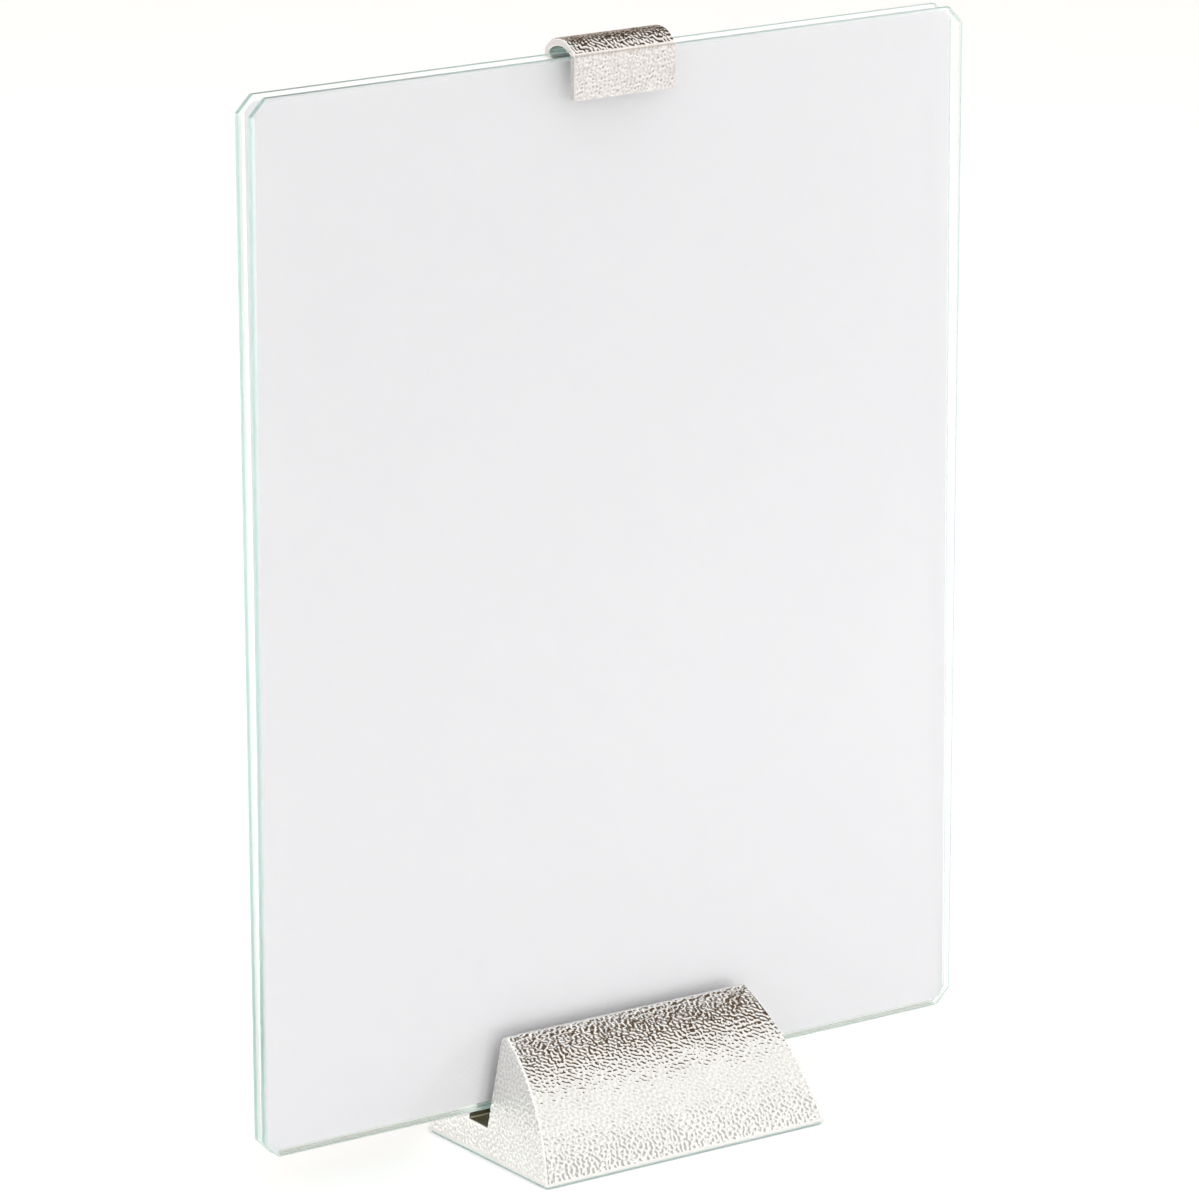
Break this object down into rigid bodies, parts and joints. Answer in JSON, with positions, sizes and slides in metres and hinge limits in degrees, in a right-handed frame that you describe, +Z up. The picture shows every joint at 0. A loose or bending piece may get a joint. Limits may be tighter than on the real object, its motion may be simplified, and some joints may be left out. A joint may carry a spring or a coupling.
{
  "type": "clip frame",
  "caption": "Table-top clip frame: glass panes hold a sheet between them, stand in the lined slot of a textured cast base and are held at the top by an arched clip.",
  "frame": {"origin": "on the table, in the middle of the base's footprint, under its ridge", "axes": "+Z up, +X to the right seen from the front, the front of the frame faces -Y"},
  "size_m": [0.2032, 0.051, 0.2697],
  "materials": {
    "glass": "polished",
    "cast_metal": "satin",
    "paper": "matte",
    "liner": "matte",
    "pad": "satin"
  },
  "bodies": {
    "base": {"base_body": "cast_metal", "base_pad": "pad", "slot_liner": "liner"},
    "front_pane": {"front_pane": "glass"},
    "rear_pane": {"rear_pane": "glass"},
    "insert_sheet": {"insert_sheet": "paper"},
    "top_clip": {"top_clip": "cast_metal"}
  },
  "joints": [
    {"name": "panes_lift", "type": "slide", "parent": "base", "child": "front_pane", "axis": [0, 0, 1], "range_m": [0, 0.025]},
    {"name": "clip_lift", "type": "slide", "parent": "front_pane", "child": "top_clip", "axis": [0, 0, 1], "range_m": [0, 0.015]},
    {"name": "sheet_slide", "type": "slide", "parent": "front_pane", "child": "insert_sheet", "axis": [1, 0, 0], "range_m": [-0.21, 0.21]},
    {"name": "rear_pane_slide", "type": "slide", "parent": "front_pane", "child": "rear_pane", "axis": [1, 0, 0], "range_m": [-0.21, 0.21]}
  ]
}
